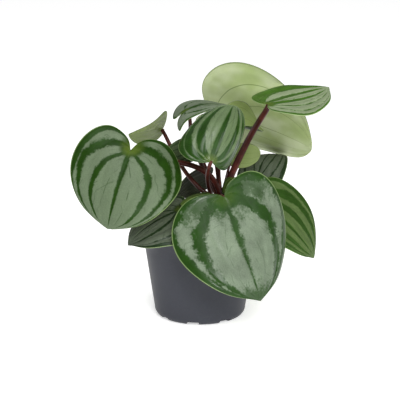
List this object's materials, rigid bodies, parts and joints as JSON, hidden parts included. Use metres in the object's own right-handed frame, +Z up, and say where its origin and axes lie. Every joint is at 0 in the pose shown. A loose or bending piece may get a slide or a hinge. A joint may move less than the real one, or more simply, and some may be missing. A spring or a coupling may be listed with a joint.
{
  "type": "potted peperomia",
  "caption": "Watermelon peperomia in a small dark nursery pot, with heart-shaped silver and green striped leaves on thin red-brown stalks that spread from a short stem.",
  "frame": {"origin": "middle of the pot's foot, on the surface the pot stands on", "axes": "+Z up along the pot's axis; -Y towards the front, the side to which the largest leaf hangs; +X to the viewer's right when seen from the front"},
  "size_m": [0.1979, 0.175, 0.1956],
  "materials": {
    "pot": "satin dark grey moulded plastic",
    "soil": "rough moist potting soil",
    "stems": "smooth, slightly glossy red-brown",
    "leaves": "waxy green with silver bands between the veins"
  },
  "bodies": {
    "root": {"pot": "pot", "soil": "soil", "stems": "stems", "leaf_front": "leaves", "leaf_left": "leaves", "leaf_middle": "leaves", "leaf_high_left": "leaves", "leaf_high_right": "leaves", "leaf_top": "leaves", "leaf_upper_right": "leaves", "leaf_lower_right": "leaves", "leaf_small_right": "leaves", "leaf_back_right": "leaves", "leaf_lower_left": "leaves", "leaf_back_left": "leaves", "leaf_small_left": "leaves", "leaf_young": "leaves", "leaf_small_front": "leaves", "leaf_shaded": "leaves", "leaf_back": "leaves"}
  },
  "joints": []
}
